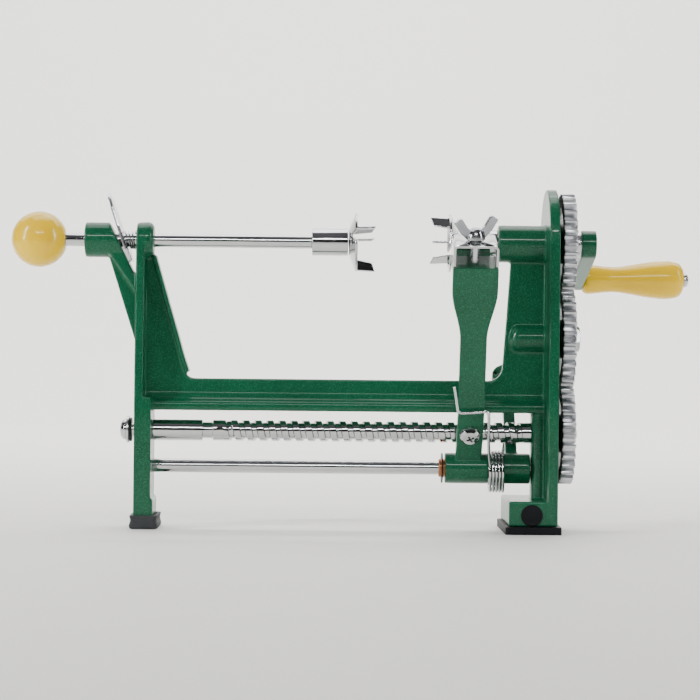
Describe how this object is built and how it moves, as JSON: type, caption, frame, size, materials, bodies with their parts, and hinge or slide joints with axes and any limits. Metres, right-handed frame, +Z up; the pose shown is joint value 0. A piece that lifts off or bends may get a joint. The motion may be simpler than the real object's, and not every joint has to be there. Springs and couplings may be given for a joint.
{
  "type": "apple peeler",
  "caption": "Hand-cranked apple peeler on a green cast stand: fruit turns between finned holders while a gear-driven lead screw carries a sprung blade arm along it.",
  "frame": {"origin": "middle of the footprint, on the table", "axes": "+X along the spindle towards the crank, +Y to the rear, +Z up"},
  "size_m": [0.4634, 0.1637, 0.2273],
  "materials": {
    "green_enamel": "glossy hammered green enamel",
    "yellow_plastic": "glossy moulded plastic",
    "chrome": "bright nickel-chrome plate",
    "steel": "plated steel",
    "black_pad": "matt black rubber",
    "grey_rubber": "dark grey moulded rubber",
    "copper_bush": "sintered bronze",
    "black_steel": "blackened spring steel"
  },
  "bodies": {
    "frame": {"main_frame": "green_enamel", "left_foot_boot": "grey_rubber", "right_foot_pad": "black_pad", "foot_plug": "black_pad", "guide_rod": "chrome", "idler_bolt": "steel", "clutch_spring": "steel"},
    "drive": {"drive_spindle": "steel", "drive_hub": "chrome", "drive_prong_plate": "chrome", "top_gear": "steel", "spindle_spacer": "steel", "crank_arm": "green_enamel", "handle_bolt": "steel"},
    "grip": {"handle_grip": "yellow_plastic"},
    "idler": {"idler_gear": "steel"},
    "lead_screw": {"lead_screw": "chrome", "bottom_gear": "steel", "gear_screw": "chrome", "end_washer": "steel", "end_screw": "chrome"},
    "carriage": {"carriage_bush": "copper_bush", "bush_washer": "black_steel", "torsion_spring": "chrome"},
    "arm": {"blade_arm": "green_enamel", "arm_screw": "chrome", "clamp_bolt": "steel"},
    "follower": {"thread_follower": "green_enamel", "follower_pin": "steel"},
    "blade_holder": {"blade_holder": "chrome", "peeler_blade": "chrome"},
    "wing_nut": {"wing_nut": "chrome"},
    "feed_rod": {"feed_rod": "chrome", "ball_knob": "yellow_plastic", "tail_screw": "steel"},
    "tail": {"tail_hub": "chrome", "tail_prong_plate": "chrome"},
    "lock_lever": {"lock_lever": "steel"}
  },
  "joints": [
    {"name": "crank_turn", "type": "hinge", "parent": "frame", "child": "drive", "pos_m": [0.12875, -0.0115, 0.191], "axis": [1, 0, 0], "range_deg": [0, 7920]},
    {"name": "grip_spin", "type": "hinge", "parent": "drive", "child": "grip", "pos_m": [0.19275, 0.0685, 0.1705], "axis": [1, 0, 0], "continuous": true},
    {"name": "idler_turn", "type": "hinge", "parent": "frame", "child": "idler", "pos_m": [0.13775, -0.0115, 0.128], "axis": [1, 0, 0], "range_deg": [-7920, 0]},
    {"name": "screw_turn", "type": "hinge", "parent": "frame", "child": "lead_screw", "pos_m": [0.13775, -0.0115, 0.065], "axis": [1, 0, 0], "range_deg": [0, 7920]},
    {"name": "carriage_travel", "type": "slide", "parent": "frame", "child": "carriage", "axis": [-1, 0, 0], "range_m": [0, 0.1761]},
    {"name": "arm_swing", "type": "hinge", "parent": "carriage", "child": "arm", "pos_m": [0.07325, -0.0115, 0.0412], "axis": [1, 0, 0], "range_deg": [-5, 25], "stiffness_Nm_per_rad": 0.3, "springref_deg": -18.91, "deforming": ["torsion_spring"]},
    {"name": "follower_release", "type": "hinge", "parent": "carriage", "child": "follower", "pos_m": [0.10125, -0.0115, 0.0412], "axis": [-1, 0, 0], "range_deg": [0, 12], "stiffness_Nm_per_rad": 0.15, "springref_deg": -20.05},
    {"name": "holder_slide", "type": "slide", "parent": "arm", "child": "blade_holder", "axis": [0, 0.9397, 0.342], "range_m": [-0.004, 0.004]},
    {"name": "wing_nut_turn", "type": "hinge", "parent": "arm", "child": "wing_nut", "pos_m": [0.07325, -0.06516, 0.17676], "axis": [0, -0.342, 0.9397], "range_deg": [0, 720]},
    {"name": "feed_slide", "type": "slide", "parent": "frame", "child": "feed_rod", "axis": [1, 0, 0], "range_m": [-0.1, 0.011]},
    {"name": "tail_spin", "type": "hinge", "parent": "feed_rod", "child": "tail", "pos_m": [-0.02125, -0.0115, 0.191], "axis": [1, 0, 0], "continuous": true},
    {"name": "lever_tilt", "type": "hinge", "parent": "frame", "child": "lock_lever", "pos_m": [-0.15205, -0.0115, 0.1768], "axis": [0, 1, 0], "range_deg": [0, 7], "stiffness_Nm_per_rad": 0.4, "springref_deg": -11.46, "deforming": ["clutch_spring"]}
  ],
  "couplings": [
    {"joint": "idler_turn", "follows": "crank_turn", "ratio": -1},
    {"joint": "screw_turn", "follows": "crank_turn", "ratio": 1},
    {"joint": "carriage_travel", "follows": "crank_turn", "m_per_rad": 0.0012732}
  ]
}
